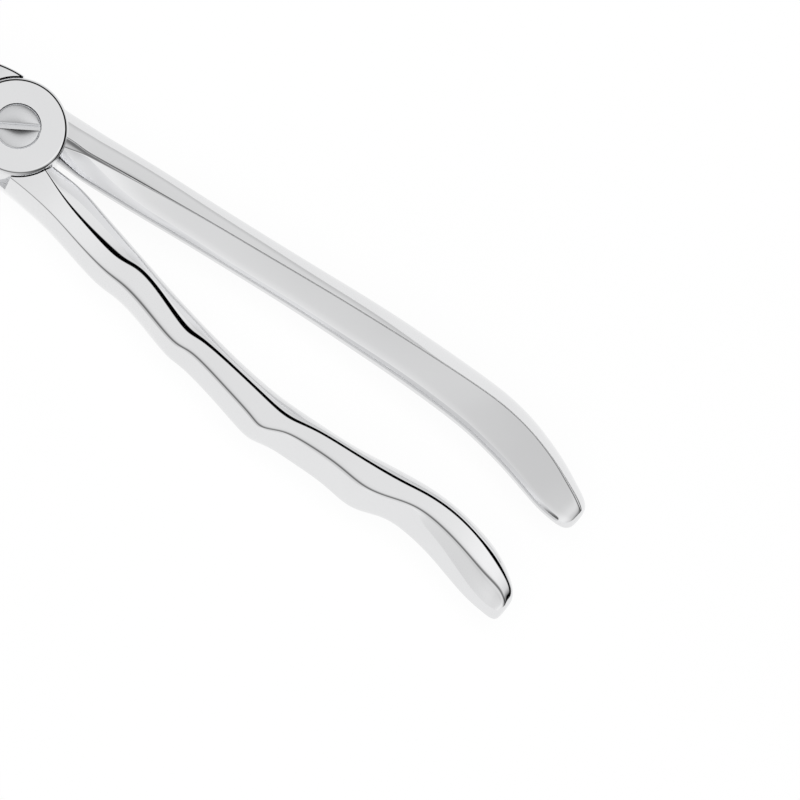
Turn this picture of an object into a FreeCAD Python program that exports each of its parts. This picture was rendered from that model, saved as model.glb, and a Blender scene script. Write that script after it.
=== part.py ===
"""Dental extraction forceps with anatomical handles, lying on their side.

Two forged halves cross in a lap joint and turn on one slotted screw.
The origin is on the surface that the forceps rest on, under the middle of the joint.
+X runs along the beaks, the handles run to -X, and +Z is the axis of the screw.
The finger half has the lower joint disc, a handle at +Y and a beak at -Y.
The palm half has the upper joint disc, a handle at -Y and a beak at +Y.
All lengths are millimetres.
"""

import FreeCAD, Part

import os

V = FreeCAD.Vector

# Joint
THICKNESS = 13.0          # both discs together, and the most that anything measures along Z
MIDDLE = THICKNESS / 2.0
DISC_RADIUS = 9.6
RIM_ROUNDING = 0.9
LAP_GAP = 0.05            # between the two discs' faces
SHOULDER_GAP = 0.2        # from a disc's rim to the shoulders of the other half
ROOT = 6.1                # half width of the forgings where they run into the discs
WIDEST = 6.25             # half width of the handles where the hand holds them
NECK_REACH = 5.0          # how far from the screw's axis each shoulder keeps, along X

# Screw, threaded into the finger half and turning in the palm half
HEAD_RADIUS = 4.4
HEAD_HEIGHT = 2.4
HEAD_SUNK = 0.1           # the head's top below the palm half's disc
HEAD_GAP = 0.05
SHANK_RADIUS = 3.0
SHANK_GAP = 0.05
THREAD_RADIUS = 2.5
THREAD_LENGTH = 4.6
HOLE_BOTTOM_GAP = 0.3
SLOT_WIDTH = 1.2
SLOT_DEPTH = 1.2
SLOT_TURN = 35.0          # degrees from +X
HEAD_CHAMFER = 0.3

# Grip grooves across the hollow inner face of each beak
GROOVE_PITCH = 1.1
GROOVE_DEPTH = 0.3
GROOVE_CLEAR = 0.15       # how far a groove's V starts inside the hollow
GROOVE_WIDTH = 0.8
GROOVE_COUNT = 11
GROOVE_FIRST = 34.4       # distance of the first groove from the screw
HOLLOW_RADIUS = 5.1

# How each face curves from its edges to its crown: 2 is an arc, less is more like a roof.
ARC = 2.0
PALM_INNER = 1.35
FINGER_OUTER = 1.3
BULGE_STEPS = 4           # points of that curve from the crown to an edge

OVERSHOOT = 1.0           # how far a cut starts outside the solid
TOUCHING = 1e-6

# Sections of the handles, each at its distance from the screw. The lengths after it are
# measured outwards from the plane between the handles: the inner face's crown, the inner
# and outer edges of the side strip, and the outer face's crown. The last is half the width.
PALM_HANDLE = [
    (0.0, 0.55, 1.0, 8.8, 9.5, ROOT),
    (4.5, 0.6, 1.2, 4.4, 9.8, ROOT),
    (9.0, 0.65, 2.2, 4.2, 10.2, ROOT),
    (12.5, 0.72, 3.4, 4.35, 10.5, 5.95),
    (16.0, 0.85, 4.2, 4.8, 10.9, 5.75),
    (26.0, 1.85, 6.15, 6.45, 12.0, 5.1),
    (38.0, 3.3, 8.05, 8.25, 13.1, 5.0),
    (50.0, 4.6, 9.6, 9.8, 14.3, 5.0),
    (62.0, 5.8, 11.05, 11.25, 15.6, 5.3),
    (74.0, 6.7, 12.35, 12.55, 16.9, 5.6),
    (86.0, 7.4, 13.4, 13.6, 17.75, 6.0),
    (98.0, 7.6, 14.25, 14.45, 18.25, 6.2),
    (105.0, 7.1, 14.3, 14.5, 18.1, WIDEST),
    (111.0, 6.2, 13.55, 13.75, 17.15, WIDEST),
    (117.0, 4.95, 12.0, 12.3, 15.4, 6.0),
    (121.0, 4.2, 10.5, 10.95, 13.85, 5.6),
    (124.5, 4.0, 9.05, 9.7, 12.2, 5.0),
    (127.0, 4.45, 7.9, 8.65, 10.8, 4.0),
    (128.3, 5.9, 7.5, 8.0, 9.3, 2.3),
]
FINGER_HANDLE = [
    (0.0, 0.5, 1.0, 8.8, 9.4, ROOT),
    (5.0, 0.48, 2.0, 8.75, 9.6, ROOT),
    (10.0, 0.5, 3.6, 8.9, 10.0, ROOT),
    (16.0, 0.5, 5.6, 9.5, 10.6, 5.8),
    (23.0, 1.75, 7.0, 10.75, 12.0, 5.3),
    (29.5, 3.1, 7.6, 11.65, 13.1, 5.0),
    (34.0, 4.1, 6.85, 11.85, 13.1, 5.0),
    (40.0, 5.35, 7.9, 12.95, 14.0, 5.0),
    (47.5, 6.65, 10.3, 14.5, 15.8, 5.0),
    (52.0, 7.4, 10.3, 14.15, 16.1, 5.05),
    (60.0, 8.5, 10.85, 15.35, 17.3, 5.25),
    (67.0, 9.0, 11.65, 16.7, 18.7, 5.4),
    (70.5, 9.05, 12.05, 17.25, 18.75, 5.5),
    (74.0, 8.9, 11.95, 15.6, 18.0, 5.6),
    (79.0, 8.7, 10.8, 14.6, 17.6, 5.75),
    (86.0, 8.15, 10.0, 14.3, 17.35, 6.05),
    (92.5, 7.0, 9.35, 14.4, 17.5, 6.15),
    (98.0, 6.05, 8.55, 12.9, 15.6, 6.2),
    (103.0, 5.5, 7.65, 11.5, 15.0, WIDEST),
    (109.0, 5.55, 7.4, 11.6, 15.6, WIDEST),
    (115.0, 6.3, 8.25, 12.55, 16.9, 6.15),
    (120.0, 7.7, 9.45, 13.55, 17.9, 5.8),
    (124.0, 9.8, 11.15, 14.2, 18.2, 5.2),
    (126.3, 11.8, 12.65, 15.4, 18.05, 4.2),
    (127.4, 13.7, 14.15, 15.6, 17.2, 2.5),
]

# Sections of a beak, in the same order. Its inner face is hollow, so the crown there lies
# further out than the edge.
BEAK = [
    (0.0, 0.62, 0.6, 8.8, 9.4, ROOT),
    (4.5, 0.72, 0.7, 8.6, 9.4, ROOT),
    (9.0, 0.92, 0.9, 7.9, 8.9, ROOT),
    (16.0, 2.0, 1.9, 6.1, 7.6, 5.2),
    (23.0, 3.3, 2.8, 5.2, 6.8, 4.3),
    (30.0, 3.7, 2.7, 4.6, 6.3, 3.9),
    (37.0, 3.4, 2.0, 3.9, 5.7, 3.9),
    (43.0, 2.8, 1.4, 3.2, 5.0, 3.9),
    (45.5, 2.42, 1.2, 2.8, 4.55, 3.5),
    (47.2, 2.1, 1.2, 2.5, 4.0, 2.75),
    (48.3, 1.85, 1.3, 2.15, 3.3, 1.7),
]


def bulge(x, edge, crown, half_width, fullness):
    """A face's curve across one section, from its upper edge over its crown to its lower."""
    points = []
    for step in range(2 * BULGE_STEPS + 1):
        across = 1.0 - step / BULGE_STEPS
        out = edge + (crown - edge) * (1.0 - abs(across) ** fullness)
        points.append(V(x, out, MIDDLE + half_width * across))
    curve = Part.BSplineCurve()
    curve.interpolate(points)
    return curve.toShape()


def section(x, row, inner_fullness, outer_fullness):
    """A closed section: outer face, lower strip, inner face and upper strip."""
    inner_crown, inner_edge, outer_edge, outer_crown, half_width = row
    top = MIDDLE + half_width
    bottom = MIDDLE - half_width
    outer = bulge(x, outer_edge, outer_crown, half_width, outer_fullness)
    inner = bulge(x, inner_edge, inner_crown, half_width, inner_fullness)
    lower = Part.makeLine(V(x, outer_edge, bottom), V(x, inner_edge, bottom))
    upper = Part.makeLine(V(x, inner_edge, top), V(x, outer_edge, top))
    return Part.Wire(Part.__sortEdges__([outer, lower, inner, upper]))


def forged(rows, direction, inner_fullness, outer_fullness):
    """A handle (direction -1) or a beak (+1) on the +Y side, lofted through its sections."""
    wires = [
        section(direction * row[0], row[1:], inner_fullness, outer_fullness) for row in rows
    ]
    return Part.makeLoft(wires, True, False)


def hollow_crown(x):
    """How far out the middle of a beak's hollow lies at a distance from the screw."""
    for near, far in zip(BEAK, BEAK[1:]):
        if near[0] <= x <= far[0]:
            along = (x - near[0]) / (far[0] - near[0])
            return near[1] + along * (far[1] - near[1])
    return BEAK[-1][1]


def groove(x):
    """A ring with a V-shaped rim that cuts one grip groove across a beak's hollow."""
    centre = hollow_crown(x) - HOLLOW_RADIUS
    slope = GROOVE_WIDTH / 2.0 / GROOVE_DEPTH
    half = GROOVE_WIDTH / 2.0 + GROOVE_CLEAR * slope
    inside = HOLLOW_RADIUS - GROOVE_CLEAR
    outside = HOLLOW_RADIUS + GROOVE_DEPTH
    along = V(1, 0, 0)
    rise = Part.makeCone(inside, outside, half, V(x - half, centre, MIDDLE), along)
    fall = Part.makeCone(outside, inside, half, V(x, centre, MIDDLE), along)
    return rise.fuse(fall)


def beak():
    """A beak on the +Y side, with its grip grooves."""
    grooves = [groove(GROOVE_FIRST + GROOVE_PITCH * i) for i in range(GROOVE_COUNT)]
    return forged(BEAK, 1, ARC, ARC).cut(grooves)


def mirrored(shape):
    """The same shape on the -Y side."""
    return shape.mirror(V(0, 0, 0), V(0, 1, 0))


def cylinder(radius, low, high):
    """A cylinder on the screw's axis."""
    return Part.makeCylinder(radius, high - low, V(0, 0, low))


def level_edges(shape, height):
    """The edges that lie level at a height."""
    return [
        edge
        for edge in shape.Edges
        if edge.BoundBox.ZLength < TOUCHING and abs(edge.BoundBox.ZMin - height) < TOUCHING
    ]


def disc(low, high, outside):
    """A joint disc, rounded at the rim of its outside face, at height outside."""
    shape = cylinder(DISC_RADIUS, low, high)
    return shape.makeFillet(RIM_ROUNDING, level_edges(shape, outside))


def other_layer(low, high):
    """What is cut from a half so that the other half's disc can turn there."""
    clearance = DISC_RADIUS + SHOULDER_GAP
    bore = cylinder(clearance, low, high)
    neck = Part.makeBox(
        2.0 * NECK_REACH, 4.0 * DISC_RADIUS, high - low, V(-NECK_REACH, -2.0 * DISC_RADIUS, low)
    )
    return bore.fuse(neck)


def palm_half():
    """The half with the upper disc and the smooth handle that rests in the palm."""
    lap = MIDDLE + LAP_GAP / 2.0
    head_seat = THICKNESS - HEAD_SUNK - HEAD_HEIGHT - HEAD_GAP
    handle = mirrored(forged(PALM_HANDLE, -1, PALM_INNER, ARC))
    blank = handle.fuse([beak(), disc(lap, THICKNESS, THICKNESS)])
    above = THICKNESS + OVERSHOOT
    blank = blank.cut(other_layer(-OVERSHOOT, lap))
    blank = blank.cut(cylinder(SHANK_RADIUS + SHANK_GAP, 0.0, above))
    return blank.cut(cylinder(HEAD_RADIUS + HEAD_GAP, head_seat, above))


def finger_half():
    """The half with the lower disc and the handle that is waved for the fingers."""
    lap = MIDDLE - LAP_GAP / 2.0
    hole_bottom = lap - THREAD_LENGTH - HOLE_BOTTOM_GAP
    handle = forged(FINGER_HANDLE, -1, ARC, FINGER_OUTER)
    blank = handle.fuse([mirrored(beak()), disc(0.0, lap, 0.0)])
    blank = blank.cut(other_layer(lap, THICKNESS + OVERSHOOT))
    return blank.cut(cylinder(THREAD_RADIUS, hole_bottom, THICKNESS))


def joint_screw():
    """The slotted screw: a sunk cheese head, a shank to turn on, and the threaded end."""
    lap = MIDDLE - LAP_GAP / 2.0
    top = THICKNESS - HEAD_SUNK
    head = cylinder(HEAD_RADIUS, top - HEAD_HEIGHT, top)
    head = head.makeChamfer(HEAD_CHAMFER, level_edges(head, top))
    slot = Part.makeBox(
        4.0 * HEAD_RADIUS, SLOT_WIDTH, 2.0 * SLOT_DEPTH,
        V(-2.0 * HEAD_RADIUS, -SLOT_WIDTH / 2.0, top - SLOT_DEPTH),
    )
    slot.rotate(V(0, 0, 0), V(0, 0, 1), SLOT_TURN)
    shank = cylinder(SHANK_RADIUS, lap, top - HEAD_HEIGHT)
    thread = cylinder(THREAD_RADIUS, lap - THREAD_LENGTH, lap)
    return head.fuse([shank, thread]).cut(slot)


os.makedirs("parts", exist_ok=True)
for name, make in (
    ("palm_half", palm_half),
    ("finger_half", finger_half),
    ("joint_screw", joint_screw),
):
    shape = make().removeSplitter()
    print(name, shape.ShapeType, len(shape.Solids), shape.isValid(), round(shape.Volume, 1))
    shape.exportStep("parts/%s.step" % name)
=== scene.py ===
import math

import bpy
import numpy as np
from mathutils import Matrix, Vector


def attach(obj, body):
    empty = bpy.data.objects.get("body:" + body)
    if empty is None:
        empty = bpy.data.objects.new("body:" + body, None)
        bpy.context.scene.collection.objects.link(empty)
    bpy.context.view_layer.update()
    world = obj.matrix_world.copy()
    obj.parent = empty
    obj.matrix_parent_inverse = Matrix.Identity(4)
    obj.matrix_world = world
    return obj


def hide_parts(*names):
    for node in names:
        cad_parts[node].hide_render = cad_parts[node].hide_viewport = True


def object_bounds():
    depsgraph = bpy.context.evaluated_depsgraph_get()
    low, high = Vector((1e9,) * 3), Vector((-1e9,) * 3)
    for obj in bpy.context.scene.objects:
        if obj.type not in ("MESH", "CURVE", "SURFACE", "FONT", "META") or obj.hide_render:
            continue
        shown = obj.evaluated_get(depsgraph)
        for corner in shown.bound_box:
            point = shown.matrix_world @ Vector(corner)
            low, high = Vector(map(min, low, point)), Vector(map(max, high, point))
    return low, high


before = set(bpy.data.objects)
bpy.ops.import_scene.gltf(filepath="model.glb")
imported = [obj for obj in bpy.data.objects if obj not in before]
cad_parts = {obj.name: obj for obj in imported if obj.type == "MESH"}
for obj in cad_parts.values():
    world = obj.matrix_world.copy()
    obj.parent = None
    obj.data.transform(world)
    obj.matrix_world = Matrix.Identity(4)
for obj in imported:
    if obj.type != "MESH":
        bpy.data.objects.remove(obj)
cad_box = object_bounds()

scene = bpy.context.scene

# ---------------------------------------------------------------------------- camera
# A long lens looks down on the forceps, tilted a little towards the waved handle's side, with
# the handles running down to the lower right and the joint at the upper left edge.
TILT = math.radians(15.0)
HANDLES_DOWN = math.radians(37.5)      # how far the handles point below the horizontal
CAMERA_DISTANCE = 0.9
FIELD_WIDTH = 0.1504                   # what the picture spans at the forceps
SENSOR_WIDTH = 36.0
JOINT_LEFT = 0.4813                    # the joint's place left of and above the centre,
JOINT_UP = 0.3313                      # as a share of the field's width

joint_height = (cad_box[0].z + cad_box[1].z) / 2.0
towards_camera = Vector((0.0, math.sin(TILT), math.cos(TILT)))
along_handles = Vector((-1.0, 0.0, 0.0))
across_handles = towards_camera.cross(along_handles)
picture_right = along_handles * math.cos(HANDLES_DOWN) + across_handles * math.sin(HANDLES_DOWN)
picture_up = across_handles * math.cos(HANDLES_DOWN) - along_handles * math.sin(HANDLES_DOWN)
aim = Vector((0.0, 0.0, joint_height))
aim += picture_right * JOINT_LEFT * FIELD_WIDTH - picture_up * JOINT_UP * FIELD_WIDTH

lens = bpy.data.cameras.new("camera")
lens.sensor_width = SENSOR_WIDTH
lens.lens = SENSOR_WIDTH * CAMERA_DISTANCE / FIELD_WIDTH
lens.clip_start, lens.clip_end = 0.01, 20.0
camera = bpy.data.objects.new("camera", lens)
camera.location = aim + towards_camera * CAMERA_DISTANCE
turn = np.array([picture_right, picture_up, towards_camera]).T
camera.rotation_mode = "QUATERNION"
camera.rotation_quaternion = Matrix(turn.tolist()).to_quaternion()
scene.collection.objects.link(camera)
scene.camera = camera


# ---------------------------------------------------------------------------- studio
# A white light tent. The steel mirrors it: a dim patch where the camera looks in, a dark gap
# between the ceiling and the wall on the palm handle's side, and white walls all round.
class Value:
    """A shader socket that Python's operators turn into Math nodes."""

    def __init__(self, tree, socket):
        self.tree = tree
        self.socket = socket

    def math(self, operation, *others):
        node = self.tree.nodes.new("ShaderNodeMath")
        node.operation = operation
        for slot, value in zip(node.inputs, (self, *others)):
            if isinstance(value, Value):
                self.tree.links.new(value.socket, slot)
            else:
                slot.default_value = value
        return Value(self.tree, node.outputs[0])

    def __add__(self, other):
        return self.math("ADD", other)

    def __sub__(self, other):
        return self.math("SUBTRACT", other)

    def __rsub__(self, other):
        return (self * -1.0).math("ADD", other)

    def __mul__(self, other):
        return self.math("MULTIPLY", other)

    def __truediv__(self, other):
        return self.math("DIVIDE", other)

    __radd__ = __add__
    __rmul__ = __mul__


def add_node(tree, kind, settings, inputs):
    """Any other node: its settings are set first, then its sockets' values or links."""
    node = tree.nodes.new(kind)
    for name, value in settings.items():
        if name == "stops":
            ramp = node.color_ramp
            while len(ramp.elements) < len(value):
                ramp.elements.new(0.5)
            for element, (place, level) in zip(ramp.elements, value):
                element.position = place
                element.color = (level, level, level, 1.0)
        else:
            setattr(node, name, value)
    for name, value in inputs.items():
        if isinstance(value, Value):
            value = value.socket
        if isinstance(value, bpy.types.NodeSocket):
            tree.links.new(value, node.inputs[name])
        else:
            node.inputs[name].default_value = value
    return node


tent = bpy.data.worlds.new("tent")
scene.world = tent
tent.use_nodes = True
tree = tent.node_tree
tree.nodes.clear()
place = add_node(tree, "ShaderNodeTexCoord", {}, {})
parts = add_node(tree, "ShaderNodeSeparateXYZ", {}, {0: place.outputs["Generated"]})
forward = Value(tree, parts.outputs["X"])
side = Value(tree, parts.outputs["Y"])
height = Value(tree, parts.outputs["Z"])
# 0 at the horizon on the waved handle's side, 0.5 overhead, 1 at the palm handle's side
sweep = (side * -1.0).math("ARCTAN2", height) / math.pi + 0.5


def lean(degrees):
    """Where a direction that leans from overhead towards the palm handle's side lies in sweep."""
    return degrees / 180.0 + 0.5


TENT_POWER = 1.55
TENT_LEVELS = [
    (lean(-90), 0.88),
    (lean(-78), 0.88),
    (lean(-66), 0.77),
    (lean(-36), 0.74),
    (lean(-24), 0.2),
    (lean(-9), 0.2),
    (lean(3), 0.85),
    (lean(12), 0.94),
    (lean(24), 0.94),
    (lean(28), 0.0),
    (lean(63), 0.0),
    (lean(67), 0.84),
    (lean(82), 0.86),
    (lean(90), 0.65),
]
# 0 straight behind the handles' ends, 0.5 across the forceps, 1 straight ahead of the beaks
END_LEVELS = [(0.0, 0.08), (0.1, 0.24), (0.2, 0.61), (0.35, 0.8), (0.4, 0.82), (0.45, 0.78),
              (0.5, 0.7), (0.6, 0.66), (0.75, 0.56), (1.0, 0.33)]
# Steel that mirrors other steel sees a plain tent, without the dim patch and the dark gap, and
# as bright as makes up for what each mirroring takes away.
PLAIN_LEVEL = 0.78
STEEL_REFLECTS = 0.74
bounce = Value(tree, add_node(tree, "ShaderNodeLightPath", {}, {}).outputs["Ray Depth"])
tent_once = add_node(tree, "ShaderNodeValToRGB", {"stops": TENT_LEVELS}, {"Fac": sweep})
mirrored = Value(tree, add_node(tree, "ShaderNodeMath", {"operation": "POWER"}, {
    0: STEEL_REFLECTS, 1: 2.0 - bounce}).outputs[0])
seen = add_node(tree, "ShaderNodeMix", {"data_type": "RGBA"}, {
    "Factor": bounce.math("GREATER_THAN", 2.5),
    "A": tent_once.outputs["Color"],
    "B": mirrored * PLAIN_LEVEL,
})
ends = add_node(tree, "ShaderNodeValToRGB", {"stops": END_LEVELS}, {"Fac": forward * 0.5 + 0.5})
background = add_node(tree, "ShaderNodeBackground", {}, {
    "Color": seen.outputs["Result"],
    "Strength": Value(tree, ends.outputs["Color"]) * TENT_POWER,
})
add_node(tree, "ShaderNodeOutputWorld", {}, {"Surface": background.outputs[0]})

LAMP_POWER = 1.6
LAMP_SPREAD = math.radians(110.0)
FLOOR_SIZE = 6.0
FLOOR_GLOW = 0.92                      # the table is lit from below
half_floor = FLOOR_SIZE / 2.0
corners = [(-half_floor, -half_floor, 0), (half_floor, -half_floor, 0),
           (half_floor, half_floor, 0), (-half_floor, half_floor, 0)]
table_top = bpy.data.meshes.new("table")
table_top.from_pydata(corners, [], [(0, 1, 2, 3)])
table = bpy.data.objects.new("table", table_top)
scene.collection.objects.link(table)
opal = bpy.data.materials.new("opal_glass")
opal.use_nodes = True
glass = opal.node_tree.nodes["Principled BSDF"]
place = add_node(opal.node_tree, "ShaderNodeTexCoord", {}, {})
cloud = add_node(opal.node_tree, "ShaderNodeTexNoise", {}, {
    "Vector": place.outputs["Object"], "Scale": 9.0})
cloud_tone = add_node(opal.node_tree, "ShaderNodeMix", {"data_type": "RGBA"}, {
    "Factor": cloud.outputs["Fac"],
    "A": (0.075, 0.075, 0.075, 1.0),
    "B": (0.09, 0.09, 0.09, 1.0),
})
opal.node_tree.links.new(cloud_tone.outputs["Result"], glass.inputs["Base Color"])
glass.inputs["Roughness"].default_value = 0.9
glass.inputs["Specular IOR Level"].default_value = 0.0
glass.inputs["Emission Color"].default_value = (1.0, 1.0, 1.0, 1.0)
glass.inputs["Emission Strength"].default_value = FLOOR_GLOW
table_top.materials.append(opal)

lamp = bpy.data.lights.new("ceiling", "SUN")
lamp.energy = LAMP_POWER
lamp.angle = LAMP_SPREAD
ceiling = bpy.data.objects.new("ceiling", lamp)
ceiling.visible_glossy = False
scene.collection.objects.link(ceiling)
scene.view_settings.view_transform = "Standard"


# ---------------------------------------------------------------------------- steel
# Stainless steel, drop forged, ground and mirror polished by hand along the handles. The
# hollows of the beaks and the faces of the lap joint keep the satin of the grinding wheel.
def steel(name, colour, roughness, smudge, grain, line_depth):
    """Polished or ground steel, with lines where grain gives noise its place."""
    material = bpy.data.materials.new(name)
    material.use_nodes = True
    tree = material.node_tree
    surface = tree.nodes["Principled BSDF"]
    surface.inputs["Metallic"].default_value = 1.0
    place = add_node(tree, "ShaderNodeTexCoord", {}, {}).outputs["Object"]
    lines = Value(tree, add_node(tree, "ShaderNodeTexNoise", {}, {
        "Vector": grain(tree, place), "Scale": 1.0, "Detail": 3.0}).outputs["Fac"])
    wiped = Value(tree, add_node(tree, "ShaderNodeTexNoise", {}, {
        "Vector": place, "Scale": 55.0, "Detail": 4.0, "Distortion": 0.6}).outputs["Fac"])
    tint = add_node(tree, "ShaderNodeMix", {"data_type": "RGBA"}, {
        "Factor": wiped,
        "A": (*[level * 0.97 for level in colour], 1.0),
        "B": (*[level * 1.03 for level in colour], 1.0),
    })
    tree.links.new(tint.outputs["Result"], surface.inputs["Base Color"])
    rough = wiped * smudge + lines * (smudge * 0.5) + (roughness - smudge * 0.75)
    tree.links.new(rough.socket, surface.inputs["Roughness"])
    relief = add_node(tree, "ShaderNodeBump", {}, {
        "Strength": 1.0, "Distance": line_depth, "Height": lines})
    tree.links.new(relief.outputs["Normal"], surface.inputs["Normal"])
    return material


def lengthways(along, across):
    """Lines along the forceps, as the polishing wheel leaves them."""
    def grain(tree, place):
        stretched = add_node(tree, "ShaderNodeMapping", {}, {
            "Vector": place, "Scale": (along, across, across)})
        return stretched.outputs["Vector"]
    return grain


polished = steel("polished_steel", (0.738, 0.74, 0.747), 0.06, 0.04, lengthways(60.0, 900.0), 1.5e-7)
satin = steel("satin_steel", (0.6, 0.605, 0.615), 0.34, 0.1, lengthways(260.0, 5200.0), 4e-6)

# ---------------------------------------------------------------------------- forgings
# The two halves of the forceps are forged from one bar each: a handle, a flat joint disc and
# a beak. Every section has a crowned inner face, a side strip and a crowned outer face.
MM = 0.001
THICKNESS = 13.0
MIDDLE = THICKNESS / 2.0
DISC_RADIUS = 9.6
RIM_ROUNDING = 0.9
LAP_GAP = 0.05                         # between the two discs' faces
SHOULDER_GAP = 0.2                     # from a disc's rim to the other half's shoulders
ROOT = 6.1                             # half width where a forging runs into its disc
WIDEST = 6.25                          # half width where the hand holds a handle
NECK_REACH = 5.0                       # how far from the screw each shoulder keeps
OVERSHOOT = 1.0                        # how far a cut starts outside the solid
ABOVE = THICKNESS + OVERSHOOT
SHARP_ANGLE = 32.0                     # degrees between faces at a machined edge
ARC = 2.0                              # a face's fullness: an arc, and less is like a roof
# Distance from the screw, then the inner crown, the strip's inner edge, its outer edge and
# the outer crown, measured out from the plane between the handles, and half the width.
PALM_HANDLE = [
    (0.0, 0.55, 1.0, 8.8, 9.5, ROOT),
    (4.5, 0.6, 1.2, 4.4, 9.8, ROOT),
    (9.0, 0.65, 2.2, 4.2, 10.2, ROOT),
    (12.5, 0.72, 3.4, 4.35, 10.5, 5.95),
    (16.0, 0.85, 4.2, 4.8, 10.9, 5.75),
    (26.0, 1.85, 6.15, 6.45, 12.0, 5.1),
    (38.0, 3.3, 8.05, 8.25, 13.1, 5.0),
    (50.0, 4.6, 9.6, 9.8, 14.3, 5.0),
    (62.0, 5.8, 11.05, 11.25, 15.6, 5.3),
    (74.0, 6.7, 12.35, 12.55, 16.9, 5.6),
    (86.0, 7.4, 13.4, 13.6, 17.75, 6.0),
    (98.0, 7.6, 14.25, 14.45, 18.25, 6.2),
    (105.0, 7.1, 14.3, 14.5, 18.1, WIDEST),
    (111.0, 6.2, 13.55, 13.75, 17.15, WIDEST),
    (117.0, 4.95, 12.0, 12.3, 15.4, 6.0),
    (121.0, 4.2, 10.5, 10.95, 13.85, 5.6),
    (124.5, 4.0, 9.05, 9.7, 12.2, 5.0),
    (127.0, 4.45, 7.9, 8.65, 10.8, 4.0),
    (128.3, 5.9, 7.5, 8.0, 9.3, 2.3),
]
FINGER_HANDLE = [
    (0.0, 0.5, 1.0, 8.8, 9.4, ROOT),
    (5.0, 0.48, 2.0, 8.75, 9.6, ROOT),
    (10.0, 0.5, 3.6, 8.9, 10.0, ROOT),
    (16.0, 0.5, 5.6, 9.5, 10.6, 5.8),
    (23.0, 1.75, 7.0, 10.75, 12.0, 5.3),
    (29.5, 3.1, 7.6, 11.65, 13.1, 5.0),
    (34.0, 4.1, 6.85, 11.85, 13.1, 5.0),
    (40.0, 5.35, 7.9, 12.95, 14.0, 5.0),
    (47.5, 6.65, 10.3, 14.5, 15.8, 5.0),
    (52.0, 7.4, 10.3, 14.15, 16.1, 5.05),
    (60.0, 8.5, 10.85, 15.35, 17.3, 5.25),
    (67.0, 9.0, 11.65, 16.7, 18.7, 5.4),
    (70.5, 9.05, 12.05, 17.25, 18.75, 5.5),
    (74.0, 8.9, 11.95, 15.6, 18.0, 5.6),
    (79.0, 8.7, 10.8, 14.6, 17.6, 5.75),
    (86.0, 8.15, 10.0, 14.3, 17.35, 6.05),
    (92.5, 7.0, 9.35, 14.4, 17.5, 6.15),
    (98.0, 6.05, 8.55, 12.9, 15.6, 6.2),
    (103.0, 5.5, 7.65, 11.5, 15.0, WIDEST),
    (109.0, 5.55, 7.4, 11.6, 15.6, WIDEST),
    (115.0, 6.3, 8.25, 12.55, 16.9, 6.15),
    (120.0, 7.7, 9.45, 13.55, 17.9, 5.8),
    (124.0, 9.8, 11.15, 14.2, 18.2, 5.2),
    (126.3, 11.8, 12.65, 15.4, 18.05, 4.2),
    (127.4, 13.7, 14.15, 15.6, 17.2, 2.5),
]
BEAK = [
    (0.0, 0.62, 0.6, 8.8, 9.4, ROOT),
    (4.5, 0.72, 0.7, 8.6, 9.4, ROOT),
    (9.0, 0.92, 0.9, 7.9, 8.9, ROOT),
    (16.0, 2.0, 1.9, 6.1, 7.6, 5.2),
    (23.0, 3.3, 2.8, 5.2, 6.8, 4.3),
    (30.0, 3.7, 2.7, 4.6, 6.3, 3.9),
    (37.0, 3.4, 2.0, 3.9, 5.7, 3.9),
    (43.0, 2.8, 1.4, 3.2, 5.0, 3.9),
    (45.5, 2.42, 1.2, 2.8, 4.55, 3.5),
    (47.2, 2.1, 1.2, 2.5, 4.0, 2.75),
    (48.3, 1.85, 1.3, 2.15, 3.3, 1.7),
]
# How round the edges are polished along a handle: distance from the screw, share of the most.
PALM_BLUNTNESS = [(0.0, 1.0), (113.0, 1.0), (119.0, 3.0), (127.0, 6.0)]
FINGER_BLUNTNESS = [
    (0.0, 0.25), (14.0, 0.3), (22.0, 0.45), (29.0, 0.8), (36.0, 1.25), (42.0, 1.35),
    (54.0, 0.9), (115.0, 0.9), (127.0, 2.0),
]
BEAK_BLUNTNESS = [(0.0, 1.0), (49.0, 1.0)]
# Between its crown, 0, and its edge, 1, a face has three more control points.
CROWN_STEP = 0.45
EDGE_STEP = 0.8                        # the second one's place, as a share of the last one's
MOST_EDGE = 0.24                       # the most that the last one keeps from the edge
STRIP_SHARE = 0.4                      # the most of a strip's width that an edge rounds
CAGE_PASSES = 12
HALF_ARC_STEPS = 24


def ring(x, inner, strip_in, strip_out, outer, half_width, soft, bluntness, drop, full):
    """Control points round one section, from the inner crown over the top to the outer one."""
    width = strip_out - strip_in
    blunt = np.interp(abs(x), *zip(*bluntness))
    in_strip, in_face, out_strip, out_face = [reach * blunt for reach in soft]
    low = half_width - drop * width * max(0.0, 1.0 - (width / 4.0) ** 2)
    upper = []

    def face(edge, crown, across, reach, power):
        grown = crown + (crown - edge) * CROWN_STEP ** power / 3.0
        upper.append((edge + (grown - edge) * (1.0 - across ** power), reach * across))

    def steps(edge, crown, distance, reach, power):
        last = 1.0 - min(MOST_EDGE, distance / math.hypot(reach, power * (crown - edge)))
        return 0.0, CROWN_STEP, EDGE_STEP * last, last

    for across in steps(strip_in, inner, in_face, low, full[0]):
        face(strip_in, inner, across, low, full[0])
    upper.append((strip_in, low))
    upper.append((strip_in + min(in_strip, STRIP_SHARE * width), low + (half_width - low) * 0.3))
    upper.append(((strip_in + strip_out) / 2.0, (low + half_width) / 2.0))
    upper.append((strip_out - min(out_strip, STRIP_SHARE * width), half_width))
    upper.append((strip_out, half_width))
    for across in reversed(steps(strip_out, outer, out_face, half_width, full[1])):
        face(strip_out, outer, across, half_width, full[1])
    lower = [(out, -high) for out, high in reversed(upper[1:-1])]
    return [(x, out, MIDDLE + high) for out, high in upper + lower]


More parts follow.
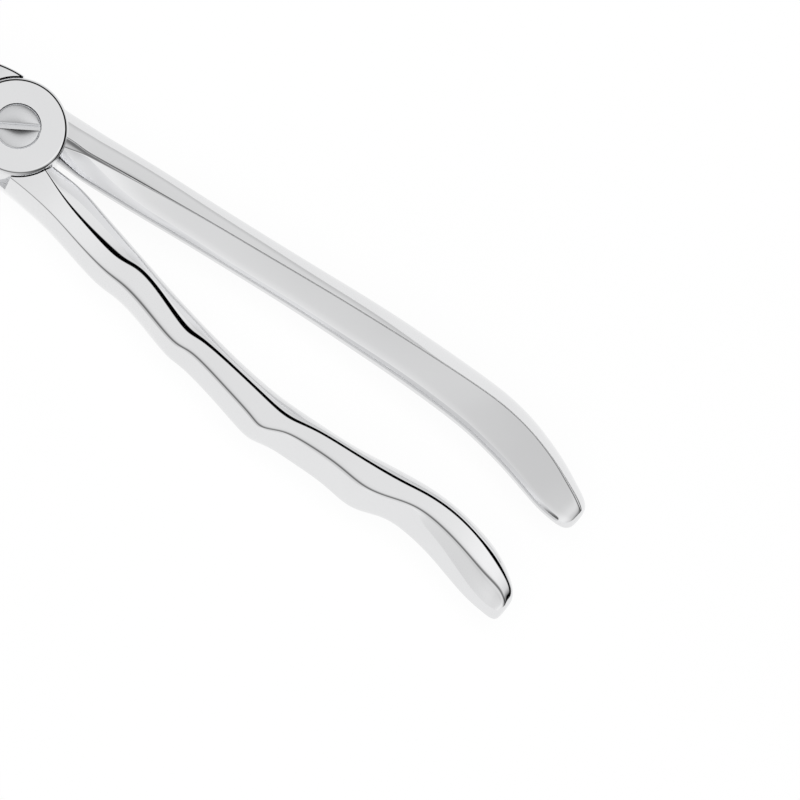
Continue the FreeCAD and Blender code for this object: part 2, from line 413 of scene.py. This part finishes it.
def new_piece(name, points, faces):
    """A mesh object made from points in millimetres."""
    mesh = bpy.data.meshes.new(name)
    mesh.from_pydata([[value * MM for value in point] for point in points], [], faces)
    mesh.materials.append(polished)
    mesh.shade_smooth()
    piece = bpy.data.objects.new(name, mesh)
    scene.collection.objects.link(piece)
    return piece


def forged(name, rows, direction, side, soft, bluntness, drop, full):
    """A handle (direction -1) or a beak (+1): a cage through the sections, subdivided."""
    wanted = np.array([
        ring(direction * row[0], *row[1:], soft, bluntness, drop, full) for row in rows
    ])
    cage = wanted.copy()
    for _ in range(CAGE_PASSES):       # so that the smoothed surface passes through them
        passed = (cage[:-2] + 4.0 * cage[1:-1] + cage[2:]) / 6.0
        cage[1:-1] += wanted[1:-1] - passed
    cage[:, :, 1] *= side
    around = cage.shape[1]
    faces = [
        (i * around + j, i * around + (j + 1) % around,
         (i + 1) * around + (j + 1) % around, (i + 1) * around + j)
        for i in range(len(rows) - 1)
        for j in range(around)
    ]
    last = (len(rows) - 1) * around
    faces.append(tuple(reversed(range(around))))
    faces.append(tuple(range(last, last + around)))
    if direction * side > 0:
        faces = [face[::-1] for face in faces]
    piece = new_piece(name, cage.reshape(-1, 3).tolist(), faces)
    smooth = piece.modifiers.new("smooth", "SUBSURF")
    smooth.levels = smooth.render_levels = 3
    return piece


def turned(name, outline, segments=128):
    """A solid turned on the screw's axis; its outline (radius, height) starts and ends there."""
    rim = outline[1:-1]
    points = [(0.0, 0.0, outline[0][1])]
    for radius, height in rim:
        for step in range(segments):
            angle = 2.0 * math.pi * step / segments
            points.append((radius * math.cos(angle), radius * math.sin(angle), height))
    points.append((0.0, 0.0, outline[-1][1]))
    top = len(points) - 1
    faces = []
    for j in range(segments):
        k = (j + 1) % segments
        faces.append((0, 1 + k, 1 + j))
        for i in range(len(rim) - 1):
            here, above = 1 + i * segments, 1 + (i + 1) * segments
            faces.append((here + j, here + k, above + k, above + j))
        faces.append((top, top - segments + j, top - segments + k))
    return new_piece(name, points, faces)


def prism(name, outline, low, high):
    """An upright prism on an anticlockwise outline."""
    count = len(outline)
    points = [(x, y, low) for x, y in outline] + [(x, y, high) for x, y in outline]
    faces = [tuple(reversed(range(count))), tuple(range(count, 2 * count))]
    faces += [(j, (j + 1) % count, count + (j + 1) % count, count + j) for j in range(count)]
    return new_piece(name, points, faces)


def rounded(radius, corner_height, upward, steps=8):
    """The outline of a rim's rounding, from the rim's side to its flat face."""
    turns = [math.pi / 2.0 * step / steps for step in range(steps + 1)]
    return [
        (radius - RIM_ROUNDING * (1.0 - math.cos(turn)),
         corner_height - upward * RIM_ROUNDING * (1.0 - math.sin(turn)))
        for turn in turns
    ]


def other_layer(name, low, high):
    """What is cut from one half so that the other half's disc and necks can turn there."""
    clearance = DISC_RADIUS + SHOULDER_GAP
    long_way = 2.0 * DISC_RADIUS
    half_turn = math.acos(NECK_REACH / clearance)
    arc = [half_turn * (step / HALF_ARC_STEPS - 1.0) for step in range(2 * HALF_ARC_STEPS + 1)]
    right = [(clearance * math.cos(turn), clearance * math.sin(turn)) for turn in arc]
    right = [(NECK_REACH, -long_way)] + right + [(NECK_REACH, long_way)]
    left = [(-x, -y) for x, y in right]
    return prism(name, right + left, low, high)


def combine(piece, others, operation):
    """Adds or cuts the other solids, which are then thrown away."""
    for other in others:
        step = piece.modifiers.new(other.name, "BOOLEAN")
        step.operation = operation
        step.solver = "MANIFOLD"
        step.object = other
    apply(piece)
    for other in others:
        bpy.data.objects.remove(other)


def apply(piece):
    """Turns the evaluated result into the piece's plain mesh."""
    evaluated = piece.evaluated_get(bpy.context.evaluated_depsgraph_get())
    result = bpy.data.meshes.new_from_object(evaluated)
    piece.modifiers.clear()
    piece.data = result


def finish_edges(piece, angle):
    """Keeps machined edges sharp and shades the polished faces evenly between them."""
    piece.data.set_sharp_from_angle(angle=math.radians(angle))
    even = piece.modifiers.new("even", "WEIGHTED_NORMAL")
    even.keep_sharp = True
    apply(piece)


# Grip grooves: V-shaped rims of discs on a line along the beak, each set into its hollow.
GROOVES = {
    "Count": ("INT", 11), "Pitch": ("FLOAT", 1.1 * MM), "First": ("FLOAT", 34.4 * MM),
    "Depth": ("FLOAT", 0.3 * MM), "Width": ("FLOAT", 0.8 * MM),
    "Hollow Radius": ("FLOAT", 5.1 * MM), "Side": ("FLOAT", 1.0),
}


def tree_with(name, sizes):
    """A geometry tree with named inputs; gives the tree, its inputs and its output node."""
    tree = bpy.data.node_groups.new(name, "GeometryNodeTree")
    tree.interface.new_socket("Geometry", in_out="INPUT", socket_type="NodeSocketGeometry")
    for label, (kind, _) in sizes.items():
        tree.interface.new_socket(label, in_out="INPUT", socket_type="NodeSocket" + kind.title())
    tree.interface.new_socket("Geometry", in_out="OUTPUT", socket_type="NodeSocketGeometry")
    given = tree.nodes.new("NodeGroupInput").outputs
    return tree, given, tree.nodes.new("NodeGroupOutput")


def grow(piece, tree, sizes):
    """Runs a geometry tree on a piece with these sizes and keeps the plain mesh."""
    step = piece.modifiers.new(tree.name, "NODES")
    step.node_group = tree
    for item in tree.interface.items_tree:
        if item.in_out == "INPUT" and item.name in sizes:
            step[item.identifier] = sizes[item.name][1]
    apply(piece)


grooving, given, grooved = tree_with("grip_grooves", GROOVES)
side = Value(grooving, given["Side"])
start = add_node(grooving, "ShaderNodeCombineXYZ", {}, {"X": given["First"], "Z": MIDDLE * MM})
stride = add_node(grooving, "ShaderNodeCombineXYZ", {}, {"X": given["Pitch"]})
places = add_node(grooving, "GeometryNodeMeshLine", {}, {
    "Count": given["Count"], "Start Location": start.outputs[0], "Offset": stride.outputs[0]})
outward = add_node(grooving, "ShaderNodeCombineXYZ", {}, {"Y": side})
hollow = add_node(grooving, "GeometryNodeRaycast", {}, {
    "Target Geometry": given["Geometry"], "Ray Direction": outward.outputs[0]})
back = add_node(grooving, "ShaderNodeCombineXYZ", {}, {
    "Y": Value(grooving, given["Hollow Radius"]) * side})
centre = add_node(grooving, "ShaderNodeVectorMath", {"operation": "SUBTRACT"}, {
    0: hollow.outputs["Hit Position"], 1: back.outputs[0]})
centres = add_node(grooving, "GeometryNodeSetPosition", {}, {
    "Geometry": places.outputs["Mesh"], "Position": centre.outputs[0]})
wheel = add_node(grooving, "GeometryNodeMeshCylinder", {}, {
    "Vertices": 128, "Side Segments": 2, "Radius": given["Hollow Radius"],
    "Depth": given["Width"]})
where = add_node(grooving, "GeometryNodeInputPosition", {}, {})
parts = add_node(grooving, "ShaderNodeSeparateXYZ", {}, {0: where.outputs[0]})
from_rim = Value(grooving, parts.outputs["Z"]).math("ABSOLUTE") * 2.0 / Value(grooving, given["Width"])
swell = 1.0 + (1.0 - from_rim) * Value(grooving, given["Depth"]) / Value(grooving, given["Hollow Radius"])
swollen = add_node(grooving, "ShaderNodeCombineXYZ", {}, {"X": swell, "Y": swell, "Z": 1.0})
edge = add_node(grooving, "ShaderNodeVectorMath", {"operation": "MULTIPLY"}, {
    0: where.outputs[0], 1: swollen.outputs[0]})
wheel = add_node(grooving, "GeometryNodeSetPosition", {}, {
    "Geometry": wheel.outputs["Mesh"], "Position": edge.outputs[0]})
wheels = add_node(grooving, "GeometryNodeInstanceOnPoints", {}, {
    "Points": centres.outputs["Geometry"], "Instance": wheel.outputs["Geometry"],
    "Rotation": (0.0, math.pi / 2.0, 0.0)})
solid_wheels = add_node(grooving, "GeometryNodeRealizeInstances", {}, {
    "Geometry": wheels.outputs["Instances"]})
cut = add_node(grooving, "GeometryNodeMeshBoolean", {"operation": "DIFFERENCE", "solver": "MANIFOLD"}, {
    "Mesh 1": given["Geometry"], "Mesh 2": solid_wheels.outputs["Geometry"]})
whole = add_node(grooving, "GeometryNodeRealizeInstances", {}, {"Geometry": cut.outputs["Mesh"]})
coated = add_node(grooving, "GeometryNodeSetMaterial", {}, {
    "Geometry": whole.outputs["Geometry"], "Material": polished})
grooving.links.new(coated.outputs["Geometry"], grooved.inputs[0])

HOLLOW_STARTS = 10.0 * MM
HOLLOW_FACING = 0.6                    # how squarely a face looks at the other beak
LEVEL = 0.99                           # how nearly upright a level face's normal is


def beak(name, side):
    """A beak with its grip grooves, on one side of the plane between the beaks."""
    piece = forged(name, BEAK, 1, side, (0.15, 0.2, 0.8, 0.9), BEAK_BLUNTNESS, 0.0, (ARC, ARC))
    grow(piece, grooving, {**GROOVES, "Side": ("FLOAT", float(side))})
    return piece


def satin_faces(piece, side):
    """Gives the hollow of the beak and the lap's flat face the grinding wheel's satin."""
    piece.data.materials.append(satin)
    for face in piece.data.polygons:
        in_hollow = face.center.x > HOLLOW_STARTS and face.normal.y * side < -HOLLOW_FACING
        on_lap = abs(face.center.z - MIDDLE * MM) < LAP_GAP * MM and abs(face.normal.z) > LEVEL
        if in_hollow or on_lap:
            face.material_index = 1


# ---------------------------------------------------------------------------- palm half
# The half with the upper disc. Its smooth handle swells towards the end to fill the palm, and
# the screw's head is sunk in its disc. Drop forged stainless steel, polished all over.
SHANK_HOLE = 3.05
HEAD_SEAT_RADIUS = 4.45
HEAD_SEAT = 10.45
PALM_INNER = 1.35                      # the inner face's fullness
PALM_DROP = 0.27                       # how far a narrow strip falls inwards, of its width

lap_above = MIDDLE + LAP_GAP / 2.0
palm = forged("palm_forging", PALM_HANDLE, -1, -1, (0.12, 0.2, 0.12, 0.2),
              PALM_BLUNTNESS, PALM_DROP, (PALM_INNER, ARC))
upper_rim = rounded(DISC_RADIUS, THICKNESS, 1)
upper_disc = turned(
    "upper_disc", [(0.0, lap_above), (DISC_RADIUS, lap_above)] + upper_rim + [(0.0, THICKNESS)]
)
combine(palm, [beak("palm_beak", 1), upper_disc], "UNION")
combine(palm, [
    other_layer("lower_layer", -OVERSHOOT, lap_above),
    turned("shank_hole", [(0.0, -OVERSHOOT), (SHANK_HOLE, -OVERSHOOT),
                          (SHANK_HOLE, ABOVE), (0.0, ABOVE)]),
    turned("head_seat", [(0.0, HEAD_SEAT), (HEAD_SEAT_RADIUS, HEAD_SEAT),
                         (HEAD_SEAT_RADIUS, ABOVE), (0.0, ABOVE)]),
], "DIFFERENCE")
satin_faces(palm, 1)
finish_edges(palm, SHARP_ANGLE)
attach(palm, "palm_side")
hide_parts("palm_half")

# ---------------------------------------------------------------------------- finger half
# The half with the lower disc. Its handle is waved to fit between the fingers, and the screw
# is threaded into its disc, in a hole that stops short of the underside.
THREAD_HOLE = 2.5
HOLE_BOTTOM = 1.575
FINGER_OUTER = 1.3                     # the outer face's fullness

lap_below = MIDDLE - LAP_GAP / 2.0
finger = forged("finger_forging", FINGER_HANDLE, -1, 1, (1.3, 1.8, 1.9, 0.6),
                FINGER_BLUNTNESS, 0.0, (ARC, FINGER_OUTER))
lower_rim = rounded(DISC_RADIUS, 0.0, -1)[::-1]
lower_disc = turned(
    "lower_disc", [(0.0, 0.0)] + lower_rim + [(DISC_RADIUS, lap_below), (0.0, lap_below)]
)
combine(finger, [beak("finger_beak", -1), lower_disc], "UNION")
combine(finger, [
    other_layer("upper_layer", lap_below, ABOVE),
    turned("thread_hole", [(0.0, HOLE_BOTTOM), (THREAD_HOLE, HOLE_BOTTOM),
                           (THREAD_HOLE, ABOVE), (0.0, ABOVE)]),
], "DIFFERENCE")
satin_faces(finger, -1)
finish_edges(finger, SHARP_ANGLE)
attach(finger, "finger_side")
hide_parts("finger_half")

# ---------------------------------------------------------------------------- joint screw
# A slotted cheese-head screw, turned from stainless bar. Its plain shank is the pivot of the
# palm half, and its thread is screwed tight into the finger half. The head is sunk.
HEAD_RADIUS = 4.4
HEAD_LOW = 10.5
HEAD_TOP = 12.9
HEAD_CHAMFER = 0.3
SHANK_RADIUS = 3.0
SLOT_HALF_WIDTH = 0.6
SLOT_DEPTH = 1.2
SLOT_TURN = math.radians(35.0)
SLOT_REACH = 6.0
EDGE_BREAK = 0.06
BROKEN_ANGLE = math.radians(40.0)      # edges sharper than this are broken
# The thread starts inside the shank, a little above the lap, so that the two join.
THREAD = {
    "Radius": ("FLOAT", 2.5 * MM), "Depth": ("FLOAT", 0.3 * MM), "Pitch": ("FLOAT", 0.5 * MM),
    "Low": ("FLOAT", 1.875 * MM), "High": ("FLOAT", 6.7 * MM), "Rings": ("INT", 90),
}


def turning_lines(rings):
    """Rings about the screw's axis, as the lathe leaves them."""
    def grain(tree, place):
        parts = add_node(tree, "ShaderNodeSeparateXYZ", {}, {0: place})
        x, y = Value(tree, parts.outputs["X"]), Value(tree, parts.outputs["Y"])
        radius = (x * x + y * y).math("SQRT")
        height = Value(tree, parts.outputs["Z"])
        return add_node(tree, "ShaderNodeCombineXYZ", {}, {
            "X": radius * rings, "Z": height * rings}).outputs[0]
    return grain


threading, given, threaded = tree_with("screw_thread", THREAD)
low, high = Value(threading, given["Low"]), Value(threading, given["High"])
bar = add_node(threading, "GeometryNodeMeshCylinder", {}, {
    "Vertices": 64, "Side Segments": given["Rings"], "Radius": given["Radius"],
    "Depth": high - low})
where = add_node(threading, "GeometryNodeInputPosition", {}, {})
parts = add_node(threading, "ShaderNodeSeparateXYZ", {}, {0: where.outputs[0]})
x, y, z = (Value(threading, parts.outputs[axis]) for axis in "XYZ")
turns = z / Value(threading, given["Pitch"]) - y.math("ARCTAN2", x) / (2.0 * math.pi)
flank = (turns.math("FRACT") * 2.0 - 1.0).math("ABSOLUTE")
shrink = 1.0 - flank * Value(threading, given["Depth"]) / Value(threading, given["Radius"])
shrunk = add_node(threading, "ShaderNodeCombineXYZ", {}, {"X": shrink, "Y": shrink, "Z": 1.0})
cut = add_node(threading, "ShaderNodeVectorMath", {"operation": "MULTIPLY"}, {
    0: where.outputs[0], 1: shrunk.outputs[0]})
middle = add_node(threading, "ShaderNodeCombineXYZ", {}, {"Z": (low + high) / 2.0})
bar = add_node(threading, "GeometryNodeSetPosition", {}, {
    "Geometry": bar.outputs["Mesh"], "Position": cut.outputs[0], "Offset": middle.outputs[0]})
whole = add_node(threading, "GeometryNodeMeshBoolean", {"operation": "UNION", "solver": "MANIFOLD"}, {})
threading.links.new(given["Geometry"], whole.inputs["Mesh 2"])
threading.links.new(bar.outputs["Geometry"], whole.inputs["Mesh 2"])
whole = add_node(threading, "GeometryNodeRealizeInstances", {}, {"Geometry": whole.outputs["Mesh"]})
bright = steel("turned_steel", (0.66, 0.665, 0.675), 0.2, 0.08, turning_lines(9000.0), 3e-6)
coated = add_node(threading, "GeometryNodeSetMaterial", {}, {
    "Geometry": whole.outputs["Geometry"], "Material": bright})
threading.links.new(coated.outputs["Geometry"], threaded.inputs[0])

screw = turned("joint_bolt", [
    (0.0, MIDDLE), (SHANK_RADIUS, MIDDLE), (SHANK_RADIUS, HEAD_LOW), (HEAD_RADIUS, HEAD_LOW),
    (HEAD_RADIUS, HEAD_TOP - HEAD_CHAMFER), (HEAD_RADIUS - HEAD_CHAMFER, HEAD_TOP),
    (0.0, HEAD_TOP),
])
slot = []
for along, across in ((-1, -1), (1, -1), (1, 1), (-1, 1)):
    x, y = along * SLOT_REACH, across * SLOT_HALF_WIDTH
    slot.append((x * math.cos(SLOT_TURN) - y * math.sin(SLOT_TURN),
                 x * math.sin(SLOT_TURN) + y * math.cos(SLOT_TURN)))
combine(screw, [prism("slot", slot, HEAD_TOP - SLOT_DEPTH, ABOVE)], "DIFFERENCE")
broken = screw.modifiers.new("edge_break", "BEVEL")
broken.width = EDGE_BREAK * MM
broken.segments = 2
broken.limit_method = "ANGLE"
broken.angle_limit = BROKEN_ANGLE
apply(screw)
grow(screw, threading, THREAD)
finish_edges(screw, SHARP_ANGLE)
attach(screw, "finger_side")
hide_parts("joint_screw")
